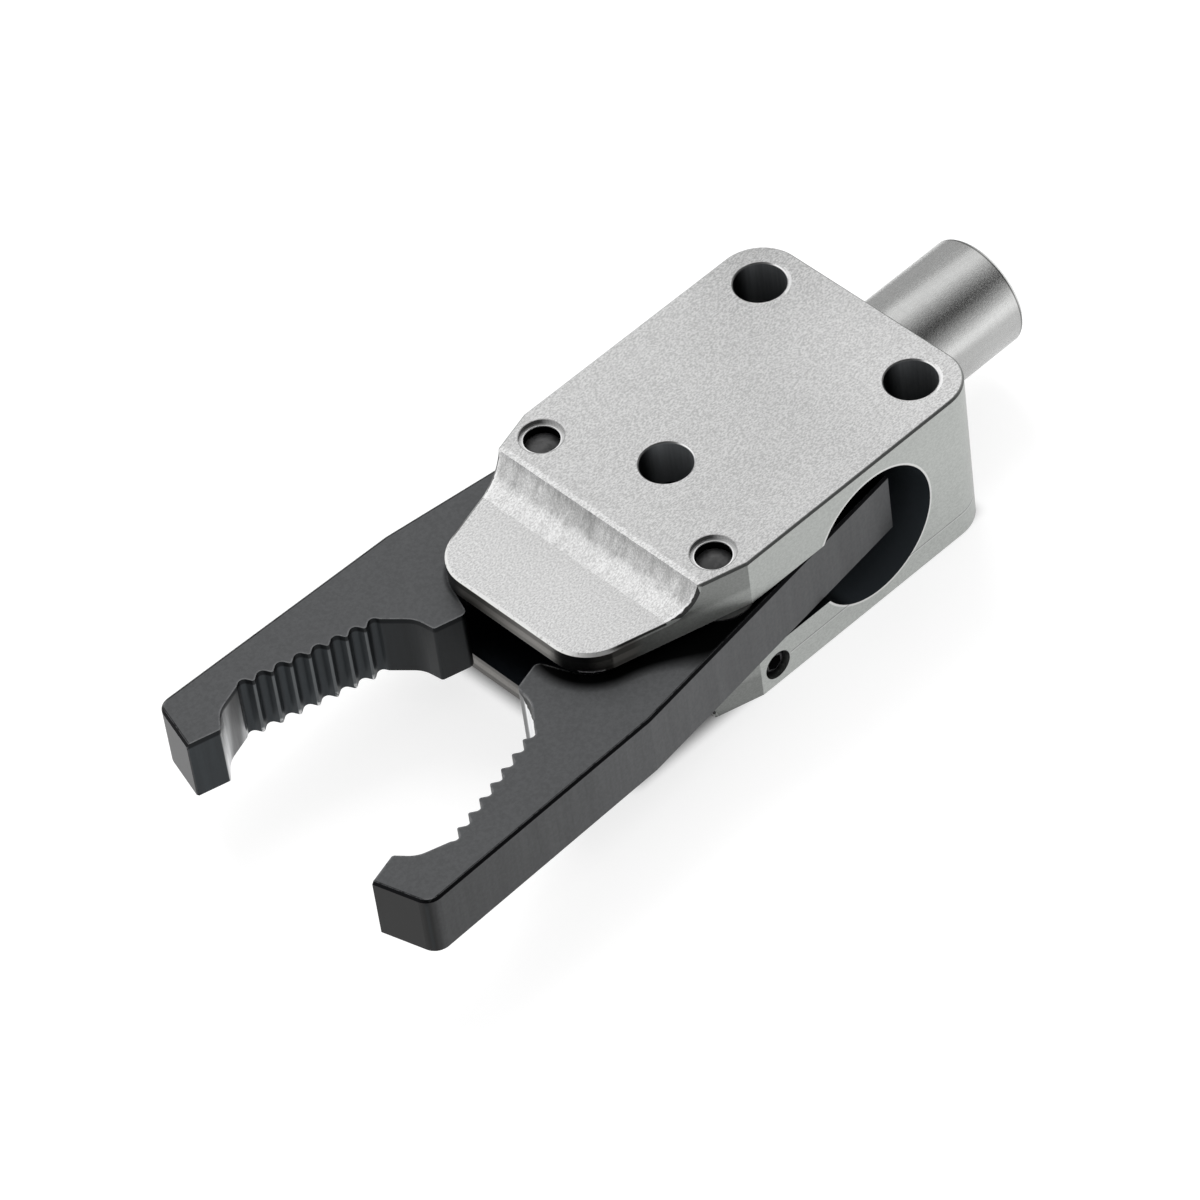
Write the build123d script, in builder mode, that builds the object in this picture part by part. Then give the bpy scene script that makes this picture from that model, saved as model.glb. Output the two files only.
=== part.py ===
from build123d import *
import math
import os

# A pneumatic sprue gripper: a clevis-shaped housing on a clamping shank, and two toothed jaws.
# Air comes in through the shank and drives two pistons apart in a cylinder across the housing.
# The pistons push the jaws' tails outwards, so the jaws close. A spring between them opens them.
#
# The model is in millimetres. Its origin is on the shank's axis, in the housing's rear face.
# +X runs to the jaw tips, +Z is up, and +Y is the left side as seen from the shank.
# The jaws are drawn open, and the right side of the gripper mirrors the left.

os.makedirs("parts", exist_ok=True)

# Housing block
body_width = 25.0
body_height = 15.4
shoulder_x = 30.5
rear_corner_radius = 3.75
taper_start_x = 26.4
taper_angle = 16.0
edge_break = 0.2
hole_break = 0.12

# Thin tongues above and below the jaws
tongue_front_x = 40.8
tongue_thickness = 2.0
front_corner_radius = 4.0
tongue_edge_break = 0.25
hollow_radius = 3.0

# Slot that holds the jaws, and the solid web between them
slot_height = 6.4
web_clear_of_pivot = 3.2
web_step_x = 21.0
web_boss_clear_of_pivot = 5.3
web_front_x = 26.6
web_corner_radius = 1.0

# Cylinder across the housing, open at both sides
cylinder_x = 13.1
cylinder_radius = 6.25
air_bore_radius = 1.25

# Shank with its air port
shank_radius = 5.0
shank_length = 12.0
shank_chamfer = 0.5
port_radius = 2.1
port_depth = 6.0
port_chamfer = 0.4
spigot_radius = 3.25
spigot_length = 5.0
shank_seal_section = 1.0
shank_seal_x = 2.6

# Fixing holes through the housing
fixing_hole_radius = 2.2
rear_hole_x = 4.0
rear_hole_inset = 4.1
front_hole_x = 22.9

# Pivot pins, their recesses, and the set screws that lock them from the side
pivot_x = 27.3
pivot_inset = 2.9
pin_radius = 1.5
pin_top_inset = 0.75
pin_base_inset = 0.05
pin_end_radius = 3.0
ring_radius = 1.85
ring_depth = 0.35
set_screw_radius = 1.3
set_screw_length = 4.2
set_screw_inset = 0.4
set_screw_height = 2.2
set_screw_bite = 0.1
socket_size = 1.5
socket_depth = 1.6

# Bushes in the jaws and washers above and below them
bush_wall = 0.75
washer_thickness = 0.15
washer_radius = 3.0

# Jaws: the straight arm with its tail, measured from the pivot
open_angle = 15.6
arm_lean = 8.15
arm_width = 5.5
arm_offset = 3.63
tail_overrun = 3.0
kink_reach = 13.3
eye_depth = 7.1
eye_half_length = 1.5
arm_corner_radius = 0.6
eye_corner_radius = 1.5

# Jaws: the gripping edge, measured with the jaws closed
closed_gap = 0.6
grip_reach = 24.5
tooth_count = 8
tooth_pitch = 1.635
tooth_depth = 3.5
tooth_angle = 50.0
tooth_groove_radius = 0.5
tooth_crest_radius = 0.18
lead_run = 2.88
lead_angle = 34.0
lead_corner_radius = 2.5
step_run = 0.75
step_height = 1.75
hump_length = 2.95
hump_lean = 5.0
hump_corner_radius = 0.6
hump_root_radius = 3.4
tip_length = 3.0
nose_angle = 14.2
nose_corner_radius = 1.4
small_corner_radius = 0.3
jaw_edge_break = 0.2

# Pistons, their seals and their hardened noses
piston_gap = 0.4
piston_clear_of_pivot = 5.0
piston_chamfer = 0.3
piston_seal_section = 1.2
piston_seal_wall = 0.6
nose_radius = 1.5
nose_length = 3.2
nose_dome_radius = 3.0
nose_clearance = 0.05

# Opening spring between the jaws
spring_reach = 7.7
spring_radius = 2.3
spring_wire = 0.6
spring_turns = 9
spring_seat_depth = 1.0
spring_seat_clearance = 0.25

# Fits
press_clearance = 0.01
running_clearance = 0.03
sliding_clearance = 0.05
side_clearance = 0.025
groove_clearance = 0.1

# Places that follow from these sizes
top_z = body_height / 2
side_y = body_width / 2
rear_hole_y = side_y - rear_hole_inset
pivot_y = side_y - pivot_inset
web_half_width = pivot_y - web_clear_of_pivot
web_boss_half_width = pivot_y - web_boss_clear_of_pivot
slot_z = slot_height / 2
tongue_z = slot_z + tongue_thickness
jaw_thickness = slot_height - 2 * (washer_thickness + 2 * side_clearance)
jaw_z = jaw_thickness / 2
hollow_x = shoulder_x + math.sqrt(hollow_radius**2 - (hollow_radius - top_z + tongue_z) ** 2)
bush_radius = pin_radius + running_clearance + bush_wall
screw_x = pivot_x - pin_radius - set_screw_radius + set_screw_bite
screw_z = set_screw_height - top_z
pin_top_z = top_z - pin_top_inset
pin_base_z = pin_base_inset - top_z
clear_of_body = body_width
arm_angle = open_angle - arm_lean


def inner_face_y(x, angle):
    """Y of the straight inner face of the arm at x, when the arm leans outwards by angle."""
    lean = math.radians(angle)
    return pivot_y + (arm_offset - arm_width) / math.cos(lean) + (x - pivot_x) * math.tan(lean)


def dome_step(angle):
    """How much further out a flat face stands from a dome that it meets at an angle."""
    return nose_dome_radius * (1 / math.cos(math.radians(angle)) - 1)


nose_tip_y = inner_face_y(cylinder_x, arm_angle) - dome_step(arm_lean) - nose_clearance
piston_inner_y = piston_gap / 2
piston_outer_y = pivot_y - piston_clear_of_pivot
spring_x = pivot_x + spring_reach
spring_seat_y = inner_face_y(spring_x, arm_angle) + spring_seat_depth
spring_end_y = spring_seat_y - press_clearance


def save(part, name):
    """Label a finished solid and write it."""
    part.label = name
    export_step(part, f"parts/{name}.step")


def save_pair(left, name):
    """Write a left-hand solid and its mirror image on the right."""
    with BuildPart() as right:
        mirror(left, about=Plane.XZ)
    save(left, f"{name}_left")
    save(right.part, f"{name}_right")


# Housing: a block with a tapered front, thinned to a tongue above and below the jaws
front_half_width = side_y - (tongue_front_x - taper_start_x) * math.tan(math.radians(taper_angle))
outline = [
    (0, side_y),
    (0, -side_y),
    (taper_start_x, -side_y),
    (tongue_front_x, -front_half_width),
    (tongue_front_x, front_half_width),
    (taper_start_x, side_y),
]
outline_radii = [rear_corner_radius, rear_corner_radius, 0, front_corner_radius, front_corner_radius, 0]
web_side_x = web_step_x + web_half_width - web_boss_half_width
web = [
    (cylinder_x, web_half_width),
    (web_step_x, web_half_width),
    (web_side_x, web_boss_half_width),
    (web_front_x, web_boss_half_width),
    (web_front_x, -web_boss_half_width),
    (web_side_x, -web_boss_half_width),
    (web_step_x, -web_half_width),
    (cylinder_x, -web_half_width),
]
web_radii = [0] + 6 * [web_corner_radius] + [0]

with BuildPart() as housing:
    with BuildSketch(Plane.XY.offset(-top_z)):
        with BuildLine():
            FilletPolyline(*outline, radius=outline_radii, close=True)
        make_face()
    extrude(amount=body_height)
    chamfer(housing.faces().filter_by(Axis.Z).edges(), edge_break)
    # Steps down to the two tongues, each with a round hollow at the shoulder
    with BuildSketch(Plane.XZ):
        with Locations((hollow_x, tongue_z + hollow_radius)):
            Circle(hollow_radius)
        with Locations((hollow_x, tongue_z)):
            Rectangle(tongue_front_x, body_height, align=(Align.MIN, Align.MIN))
        mirror(about=Plane.XZ)
    extrude(amount=clear_of_body, both=True, mode=Mode.SUBTRACT)
    front_edges = housing.edges().filter_by(lambda edge: abs(abs(edge.center().Z) - tongue_z) < tongue_edge_break)
    chamfer(front_edges.filter_by(lambda edge: edge.center().X > hollow_x + edge_break), tongue_edge_break)
    # Slot for the jaws, round the web
    with BuildSketch(Plane.XY.offset(-slot_z)):
        with Locations((cylinder_x, 0)):
            Rectangle(tongue_front_x, 2 * body_width, align=(Align.MIN, Align.CENTER))
        with BuildLine():
            FilletPolyline(*web, radius=web_radii, close=True)
        make_face(mode=Mode.SUBTRACT)
    extrude(amount=slot_height, mode=Mode.SUBTRACT)
    # Cylinder from side to side
    with BuildSketch(Plane.XZ):
        with Locations((cylinder_x, 0)):
            Circle(cylinder_radius)
    extrude(amount=clear_of_body, both=True, mode=Mode.SUBTRACT)
    # Socket for the shank's spigot, and the air bore into the cylinder
    with BuildSketch(Plane.YZ):
        Circle(spigot_radius + press_clearance)
    extrude(amount=spigot_length + groove_clearance, mode=Mode.SUBTRACT)
    with BuildSketch(Plane.YZ):
        Circle(air_bore_radius)
    extrude(amount=cylinder_x, mode=Mode.SUBTRACT)
    # Holes for the fixing screws
    with Locations((rear_hole_x, rear_hole_y), (rear_hole_x, -rear_hole_y), (front_hole_x, 0)):
        Hole(fixing_hole_radius)
    rims = housing.edges().filter_by(GeomType.CIRCLE)
    rims = rims.filter_by(lambda edge: abs(edge.radius - fixing_hole_radius) < edge_break / 2)
    chamfer(rims.filter_by(lambda edge: abs(abs(edge.center().Z) - top_z) < edge_break / 2), hole_break)
    # Holes for the pivot pins, with a shallow ring round each end
    with BuildSketch(Plane.XY.offset(-top_z)):
        with Locations((pivot_x, pivot_y), (pivot_x, -pivot_y)):
            Circle(pin_radius + press_clearance)
    extrude(amount=body_height, mode=Mode.SUBTRACT)
    for ring_plane in (Plane.XY.offset(top_z), Plane.XY.offset(-top_z).rotated((180, 0, 0))):
        with BuildSketch(ring_plane):
            with Locations((pivot_x, pivot_y), (pivot_x, -pivot_y)):
                Circle(ring_radius)
        extrude(amount=-ring_depth, mode=Mode.SUBTRACT)
    # Side holes for the set screws
    for side in (1, -1):
        with BuildSketch(Plane((screw_x, side * side_y, screw_z), z_dir=(0, -side, 0))):
            Circle(set_screw_radius + press_clearance)
        extrude(amount=set_screw_inset + set_screw_length + groove_clearance, mode=Mode.SUBTRACT)
save(housing.part, "housing")

# Shank: turned, with the air port in its end and a spigot pressed into the housing
seal_groove_radius = spigot_radius - shank_seal_section
seal_groove_half = shank_seal_section / 2 + groove_clearance
with BuildPart() as shank:
    with BuildSketch(Plane.XZ):
        with BuildLine():
            Polyline(
                (-shank_length, port_radius + port_chamfer),
                (-shank_length, shank_radius - shank_chamfer),
                (shank_chamfer - shank_length, shank_radius),
                (0, shank_radius),
                (0, spigot_radius),
                (shank_seal_x - seal_groove_half, spigot_radius),
                (shank_seal_x - seal_groove_half, seal_groove_radius),
                (shank_seal_x + seal_groove_half, seal_groove_radius),
                (shank_seal_x + seal_groove_half, spigot_radius),
                (spigot_length, spigot_radius),
                (spigot_length, air_bore_radius),
                (port_depth - shank_length, air_bore_radius),
                (port_depth - shank_length, port_radius),
                (port_chamfer - shank_length, port_radius),
                close=True,
            )
        make_face()
    revolve(axis=Axis.X)
save(shank.part, "shank")

with BuildPart() as shank_seal:
    with BuildSketch(Plane.XZ):
        with Locations((shank_seal_x, spigot_radius - shank_seal_section / 2)):
            Circle(shank_seal_section / 2)
    revolve(axis=Axis.X)
save(shank_seal.part, "shank_seal")

# Left piston, which rests near the middle of the housing and moves outwards
seal_y = piston_inner_y + piston_seal_wall + piston_seal_section / 2
seal_outer_radius = cylinder_radius - running_clearance
groove_half = piston_seal_section / 2 + groove_clearance
groove_radius = seal_outer_radius - piston_seal_section - running_clearance
piston_radius = cylinder_radius - sliding_clearance
nose_root_y = nose_tip_y - nose_length
cylinder_axis = Axis((cylinder_x, 0, 0), (0, 1, 0))
with BuildPart() as piston:
    with BuildSketch(Plane((cylinder_x, 0, 0), x_dir=(1, 0, 0), z_dir=(0, 0, 1))):
        with BuildLine():
            Polyline(
                (0, piston_inner_y),
                (piston_radius - piston_chamfer, piston_inner_y),
                (piston_radius, piston_inner_y + piston_chamfer),
                (piston_radius, seal_y - groove_half),
                (groove_radius, seal_y - groove_half),
                (groove_radius, seal_y + groove_half),
                (piston_radius, seal_y + groove_half),
                (piston_radius, piston_outer_y - piston_chamfer),
                (piston_radius - piston_chamfer, piston_outer_y),
                (nose_radius + press_clearance, piston_outer_y),
                (nose_radius + press_clearance, nose_root_y),
                (0, nose_root_y),
                close=True,
            )
        make_face()
    revolve(axis=cylinder_axis)
save_pair(piston.part, "piston")

with BuildPart() as piston_seal:
    with BuildSketch(Plane((cylinder_x, 0, 0), x_dir=(1, 0, 0), z_dir=(0, 0, 1))):
        with Locations((seal_outer_radius - piston_seal_section / 2, seal_y)):
            Circle(piston_seal_section / 2)
    revolve(axis=cylinder_axis)
save_pair(piston_seal.part, "piston_seal")

# Hardened nose in the piston, domed where it meets the jaw's tail
nose_shoulder_y = nose_tip_y - nose_dome_radius + math.sqrt(nose_dome_radius**2 - nose_radius**2)
with BuildPart() as piston_nose:
    with BuildSketch(Plane((cylinder_x, 0, 0), x_dir=(1, 0, 0), z_dir=(0, 0, 1))):
        with BuildLine():
            Polyline((0, nose_tip_y), (0, nose_root_y), (nose_radius, nose_root_y), (nose_radius, nose_shoulder_y))
            RadiusArc((nose_radius, nose_shoulder_y), (0, nose_tip_y), -nose_dome_radius)
        make_face()
    revolve(axis=cylinder_axis)
save_pair(piston_nose.part, "piston_nose")

# Left jaw, drawn in its own closed position about the pivot and turned open with its plane
jaw_plane = Plane(
    (pivot_x, pivot_y, -jaw_z),
    x_dir=(math.cos(math.radians(open_angle)), math.sin(math.radians(open_angle)), 0),
    z_dir=(0, 0, 1),
)
grip_v = closed_gap / 2 - pivot_y
lean = math.radians(arm_lean)


def arm(along, depth):
    """A point on the arm: along it from the pivot, and inwards from its outer face."""
    out = arm_offset - depth
    return (along * math.cos(lean) + out * math.sin(lean), out * math.cos(lean) - along * math.sin(lean))


def grip(along, depth):
    """A point on the gripping edge: along it from its middle, and outwards from the closing line."""
    return (grip_reach + along, grip_v + depth)


tooth_slope = math.tan(math.radians(tooth_angle))
lead_slope = math.tan(math.radians(lead_angle))
tooth_half_height = tooth_pitch / 4 * tooth_slope
tooth_half_span = (tooth_count - 1) / 2 * tooth_pitch
lead_end = tooth_half_span + lead_run
flat_start = lead_end + step_run
lead_top = tooth_depth + tooth_half_height + tooth_half_span * tooth_slope - step_height - lead_end * lead_slope
lead_start = lead_top / (tooth_slope - lead_slope)
lead_depth = step_height + (lead_end - lead_start) * lead_slope
hump_back = flat_start + hump_length
tip_front = flat_start + tip_length
kink = arm(kink_reach, 0)
nose_v = kink[1] - (grip_reach + tip_front - kink[0]) * math.tan(math.radians(nose_angle))
tail_reach = pivot_x - cylinder_x + tail_overrun
eye_ramp = eye_depth - arm_width

# The back of the hump leans until it meets the arm's inner face
hump_slope = math.tan(math.radians(hump_lean))
inner_out = arm_offset - arm_width
wall_run = grip_reach - hump_back - hump_slope * (inner_out * math.cos(lean) - grip_v)
wall_along = (wall_run - inner_out * math.sin(lean)) / (math.cos(lean) - hump_slope * math.sin(lean))

profile = [
    (arm(-tail_reach, 0), 0),
    (kink, arm_corner_radius),
    ((grip_reach + tip_front, nose_v), nose_corner_radius),
    (grip(tip_front, 0), 0),
    (grip(flat_start, 0), small_corner_radius),
    (grip(lead_end, step_height), lead_corner_radius),
    (grip(lead_start, lead_depth), small_corner_radius),
]
for number in range(tooth_count):
    place = tooth_half_span - number * tooth_pitch
    profile.append((grip(place, tooth_depth + tooth_half_height), tooth_groove_radius))
    if number < tooth_count - 1:
        profile.append((grip(place - tooth_pitch / 2, tooth_depth - tooth_half_height), tooth_crest_radius))
profile += [
    (grip(-lead_start, lead_depth), small_corner_radius),
    (grip(-lead_end, step_height), lead_corner_radius),
    (grip(-flat_start, 0), small_corner_radius),
    (grip(-hump_back, 0), hump_corner_radius),
    (arm(wall_along, arm_width), hump_root_radius),
    (arm(eye_half_length + eye_ramp, arm_width), eye_corner_radius),
    (arm(eye_half_length, eye_depth), eye_corner_radius),
    (arm(-eye_half_length, eye_depth), eye_corner_radius),
    (arm(-eye_half_length - eye_ramp, arm_width), eye_corner_radius),
    (arm(-tail_reach, arm_width), arm_corner_radius),
]


def on_outside(edge):
    """True for an edge on the jaw's outer side or across its front."""
    place = jaw_plane.to_local_coords(edge.center())
    depth = arm_offset - place.X * math.sin(lean) - place.Y * math.cos(lean)
    return depth < jaw_edge_break or place.X > grip_reach + tip_front - jaw_edge_break


with BuildPart() as jaw:
    with BuildSketch(jaw_plane):
        with BuildLine():
            FilletPolyline(*[point for point, _ in profile], radius=[radius for _, radius in profile], close=True)
        make_face()
    extrude(amount=jaw_thickness)
    chamfer(jaw.faces().filter_by(Axis.Z).edges().filter_by(on_outside), jaw_edge_break)
    with BuildSketch(jaw_plane):
        Circle(bush_radius + press_clearance)
    extrude(amount=jaw_thickness, mode=Mode.SUBTRACT)
    # Blind seat for the end of the opening spring
    with BuildSketch(Plane((spring_x, spring_seat_y, 0), z_dir=(0, -1, 0))):
        Circle(spring_radius + spring_seat_clearance)
    extrude(amount=spring_seat_y, mode=Mode.SUBTRACT)
save_pair(jaw.part, "jaw")

# Bearing bush in the jaw
with BuildPart() as bush:
    with BuildSketch(jaw_plane):
        Circle(bush_radius)
        Circle(pin_radius + running_clearance, mode=Mode.SUBTRACT)
    extrude(amount=jaw_thickness)
save_pair(bush.part, "jaw_bush")

# Pivot pin with domed ends, and a neck where the set screw grips it
neck_radius = pin_radius - set_screw_bite - press_clearance
neck_half = set_screw_radius + groove_clearance
dome_rise = pin_end_radius - math.sqrt(pin_end_radius**2 - pin_radius**2)
with BuildPart() as pivot_pin:
    with BuildSketch(Plane((pivot_x, pivot_y, 0), x_dir=(1, 0, 0), z_dir=(0, -1, 0))):
        with BuildLine():
            RadiusArc((0, pin_top_z), (pin_radius, pin_top_z - dome_rise), pin_end_radius)
            Polyline(
                (pin_radius, pin_top_z - dome_rise),
                (pin_radius, screw_z + neck_half),
                (neck_radius, screw_z + neck_half),
                (neck_radius, screw_z - neck_half),
                (pin_radius, screw_z - neck_half),
                (pin_radius, pin_base_z + dome_rise),
            )
            RadiusArc((pin_radius, pin_base_z + dome_rise), (0, pin_base_z), pin_end_radius)
            Line((0, pin_base_z), (0, pin_top_z))
        make_face()
    revolve(axis=Axis((pivot_x, pivot_y, 0), (0, 0, 1)))
save_pair(pivot_pin.part, "pivot_pin")

# Thrust washers above and below each jaw
for level, washer_z in (("upper", jaw_z + side_clearance), ("lower", -jaw_z - side_clearance - washer_thickness)):
    with BuildPart() as washer:
        with BuildSketch(Plane.XY.offset(washer_z)):
            with Locations((pivot_x, pivot_y)):
                Circle(washer_radius)
                Circle(pin_radius + sliding_clearance, mode=Mode.SUBTRACT)
        extrude(amount=washer_thickness)
    save_pair(washer.part, f"{level}_washer")

# Set screws with hexagon sockets, one from each side
with BuildPart() as set_screws:
    for side in (1, -1):
        screw_plane = Plane((screw_x, side * (side_y - set_screw_inset), screw_z), z_dir=(0, -side, 0))
        with BuildSketch(screw_plane):
            Circle(set_screw_radius)
        extrude(amount=set_screw_length)
        with BuildSketch(screw_plane):
            RegularPolygon(socket_size / 2, 6, major_radius=False)
        extrude(amount=socket_depth, mode=Mode.SUBTRACT)
save(set_screws.part, "set_screws")

# Opening spring, wound round the Y axis between its seats in the two jaws
coil_radius = spring_radius - spring_wire / 2
coil_length = 2 * spring_end_y - spring_wire
with BuildPart() as opening_spring:
    with BuildLine():
        coil = Helix(
            pitch=coil_length / spring_turns,
            height=coil_length,
            radius=coil_radius,
            center=(spring_x, -coil_length / 2, 0),
            direction=(0, 1, 0),
        )
    with BuildSketch(Plane(origin=coil @ 0, z_dir=coil % 0)):
        Circle(spring_wire / 2)
    sweep(path=coil, is_frenet=True)
save(opening_spring.part, "opening_spring")
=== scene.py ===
"""Looks of a pneumatic sprue gripper: a blasted alloy housing, a turned shank and two black jaws.

Laid out as an add-on: a user changes the sizes and colours in the panel and runs a piece's operator again.
"""
import math

import bpy
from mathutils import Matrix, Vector


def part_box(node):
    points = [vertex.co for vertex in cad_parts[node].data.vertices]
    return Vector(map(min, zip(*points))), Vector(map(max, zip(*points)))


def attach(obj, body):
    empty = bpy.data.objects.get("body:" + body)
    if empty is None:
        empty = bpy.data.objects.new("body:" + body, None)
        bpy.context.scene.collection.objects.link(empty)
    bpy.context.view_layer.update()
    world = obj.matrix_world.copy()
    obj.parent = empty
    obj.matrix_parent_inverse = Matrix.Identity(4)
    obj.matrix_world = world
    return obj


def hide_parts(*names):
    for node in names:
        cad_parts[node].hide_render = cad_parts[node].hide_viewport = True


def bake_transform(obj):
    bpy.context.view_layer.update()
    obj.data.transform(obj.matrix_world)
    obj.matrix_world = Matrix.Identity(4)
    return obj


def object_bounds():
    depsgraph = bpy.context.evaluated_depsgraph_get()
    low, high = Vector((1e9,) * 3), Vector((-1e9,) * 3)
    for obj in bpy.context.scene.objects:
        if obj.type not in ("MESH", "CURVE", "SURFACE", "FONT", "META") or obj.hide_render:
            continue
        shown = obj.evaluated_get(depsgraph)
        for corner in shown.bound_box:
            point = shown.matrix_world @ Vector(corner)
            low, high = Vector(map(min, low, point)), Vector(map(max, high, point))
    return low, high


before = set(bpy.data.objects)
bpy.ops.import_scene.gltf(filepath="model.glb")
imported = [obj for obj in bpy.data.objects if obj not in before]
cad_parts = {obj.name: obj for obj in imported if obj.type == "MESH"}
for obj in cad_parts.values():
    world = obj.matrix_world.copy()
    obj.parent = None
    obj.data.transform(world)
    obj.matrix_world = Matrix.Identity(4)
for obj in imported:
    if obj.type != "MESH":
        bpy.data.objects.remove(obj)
cad_box = [list(corner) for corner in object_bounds()]

bl_info = {
    "name": "Sprue gripper",
    "version": (1, 0, 0),
    "blender": (4, 5, 0),
    "location": "3D View > Sidebar > Gripper",
    "description": "Dresses the sprue gripper's solids and sets up its studio",
    "category": "Object",
}

MM = 0.001

# Meshes and studio
TURN_STEPS = 48
WIRE_SIDES = 16
SMOOTH_ANGLE = math.radians(35.0)
MERGE_DISTANCE = 0.001 * MM
FLOOR_GREY = 0.46
FLOOR_GLOW = 0.72
FLOOR_INSET = 2 * MM
LIT_POINT = (0.03, 0, 0)

# Places on the gripper in millimetres: those that a node's box gives are read from it
housing_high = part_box("housing")[1]
screw_low, screw_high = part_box("set_screws")
pin_low, pin_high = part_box("pivot_pin_left")
piston_low, piston_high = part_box("piston_left")
spring_low, spring_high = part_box("opening_spring")
shank_low, shank_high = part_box("shank")

TOP = housing_high.z / MM
SIDE = housing_high.y / MM
FRONT_X = housing_high.x / MM
SLOT = 3.2
TONGUE = 5.2
SHOULDER_X = 30.5
HOLLOW_X = 33.46
TAPER_X = 26.4
FLANK_ANGLE = math.radians(16.0)
FLANK_LINE = SIDE + TAPER_X * math.tan(FLANK_ANGLE)
CYLINDER_X = (piston_low.x + piston_high.x) / 2 / MM
CYLINDER_RADIUS = 6.25
FIXING_RADIUS = 2.2
FIXING_RIM = FIXING_RADIUS + 0.15
FIXING_HOLES = [(4.0, 8.4), (4.0, -8.4), (22.9, 0.0)]
TONGUE_CORNER = (36.8, 5.36)
TONGUE_CORNER_RADIUS = 4.0
PIN_X = (pin_low.x + pin_high.x) / 2 / MM
PIN_Y = (pin_low.y + pin_high.y) / 2 / MM
PIN_HOLES = [(PIN_X, PIN_Y), (PIN_X, -PIN_Y)]
PIN_RING_RADIUS = 1.85
SCREW_X = (screw_low.x + screw_high.x) / 2 / MM
SCREW_Z = (screw_low.z + screw_high.z) / 2 / MM
SCREW_RADIUS = (screw_high.x - screw_low.x) / 2 / MM
SCREW_FACE = screw_high.y / MM
SCREW_LENGTH = 4.2
SCREW_THREAD_DEPTH = 0.24
SOCKET_DEPTH = 1.6
SPRING_X = (spring_low.x + spring_high.x) / 2 / MM
SPRING_RADIUS = (spring_high.x - spring_low.x) / 2 / MM
SPRING_END = 9.68
SHANK_END = shank_low.x / MM
SPIGOT_END = shank_high.x / MM
SHANK_RADIUS = shank_high.y / MM
OPEN_ANGLE = math.radians(15.6)
ARM_LEAN = math.radians(8.15)
NOSE_ANGLE = math.radians(14.2)
ARM_OFFSET = 3.63
KINK = (13.68, 1.708)
GRIP_MIDDLE = 24.5
GRIP_LINE = 0.3 - PIN_Y
JAW_FRONT = 36.85
JAW_FACE = 3.0


COLOUR = {"subtype": "COLOR", "size": 3, "min": 0, "max": 1}


class GripperFinishes(bpy.types.PropertyGroup):
    """Colours of the gripper's finishes, some of them painted shade."""

    blasted: bpy.props.FloatVectorProperty(
        name="Blasted faces", description="Colour of the housing's blasted top and bottom",
        **COLOUR, default=(0.645, 0.645, 0.643))
    # Milled sides: their colour is darker partly as painted shade
    milled_and_shaded: bpy.props.FloatVectorProperty(
        name="Milled sides", description="Colour of the housing's milled sides",
        **COLOUR, default=(0.43, 0.445, 0.43))
    # Painted shade on the tongues' front faces
    tongue_front_shade: bpy.props.FloatVectorProperty(
        name="Tongue edges", description="Colour of the tongues' dull front edges",
        **COLOUR, default=(0.220, 0.212, 0.200))
    # Painted shade inside the cylinder, where it opens into the window
    bore_mouth_shade: bpy.props.FloatVectorProperty(
        name="Cylinder", description="Colour inside the housing's cylinder",
        **COLOUR, default=(0.085, 0.100, 0.115))
    turned: bpy.props.FloatVectorProperty(
        name="Turned shank", description="Colour of the turned shank",
        **COLOUR, default=(0.645, 0.648, 0.640))
    jaw_black: bpy.props.FloatVectorProperty(
        name="Jaw black", description="Colour of the jaws' black finish",
        **COLOUR, default=(0.083, 0.085, 0.088))
    jaw_bare: bpy.props.FloatVectorProperty(
        name="Bare jaw steel", description="Colour of the jaw where its black finish is gone",
        **COLOUR, default=(0.42, 0.425, 0.43))


class GripperSizes(bpy.types.PropertyGroup):
    """Sizes of the threads, the hexagon sockets and the spring."""

    port_thread_pitch: bpy.props.FloatProperty(
        name="Port thread", description="Pitch of the thread in the air port", unit="LENGTH",
        default=0.8 * MM, min=0.4 * MM, max=1.5 * MM)
    screw_thread_pitch: bpy.props.FloatProperty(
        name="Screw thread", description="Pitch of the set screws' thread", unit="LENGTH",
        default=0.45 * MM, min=0.3 * MM, max=1.0 * MM)
    socket_width: bpy.props.FloatProperty(
        name="Socket", description="Width across the flats of the set screws' sockets", unit="LENGTH",
        default=1.3 * MM, min=0.8 * MM, max=1.6 * MM)
    wire: bpy.props.FloatProperty(
        name="Spring wire", description="Thickness of the spring's wire", unit="LENGTH",
        default=0.6 * MM, min=0.3 * MM, max=0.8 * MM)
    open_turns: bpy.props.IntProperty(
        name="Spring turns", description="Turns of the spring between its two closed ends", default=7, min=4, max=12)


class GripperStudio(bpy.types.PropertyGroup):
    """Camera, floor and lamps."""

    camera_place: bpy.props.FloatVectorProperty(
        name="Camera place", description="Where the camera stands",
        subtype="TRANSLATION", unit="LENGTH", size=3, default=(0.26259, 0.29504, 0.40143))
    camera_turn: bpy.props.FloatVectorProperty(
        name="Camera turn", description="How the camera is turned, about X, Y and Z",
        subtype="EULER", unit="ROTATION", size=3,
        default=(math.radians(42.6405), math.radians(5.7727), math.radians(135.688)))
    lens: bpy.props.FloatProperty(
        name="Lens", description="Focal length for a 36 mm sensor", unit="CAMERA", default=209.86, min=10)
    floor_size: bpy.props.FloatProperty(
        name="Floor", description="Side of the square floor", unit="LENGTH", default=4.0, min=0.5)
    sky_light: bpy.props.FloatProperty(
        name="Surrounding light", description="Strength of the light from all round", default=0.68, min=0)
    key_power: bpy.props.FloatProperty(
        name="Main lamp", description="Power of the main soft lamp", unit="POWER", default=3.2, min=0)
    fill_power: bpy.props.FloatProperty(
        name="Side lamp", description="Power of the soft lamp at the side", unit="POWER", default=0.5, min=0)


# Nodes in short calls

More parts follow.
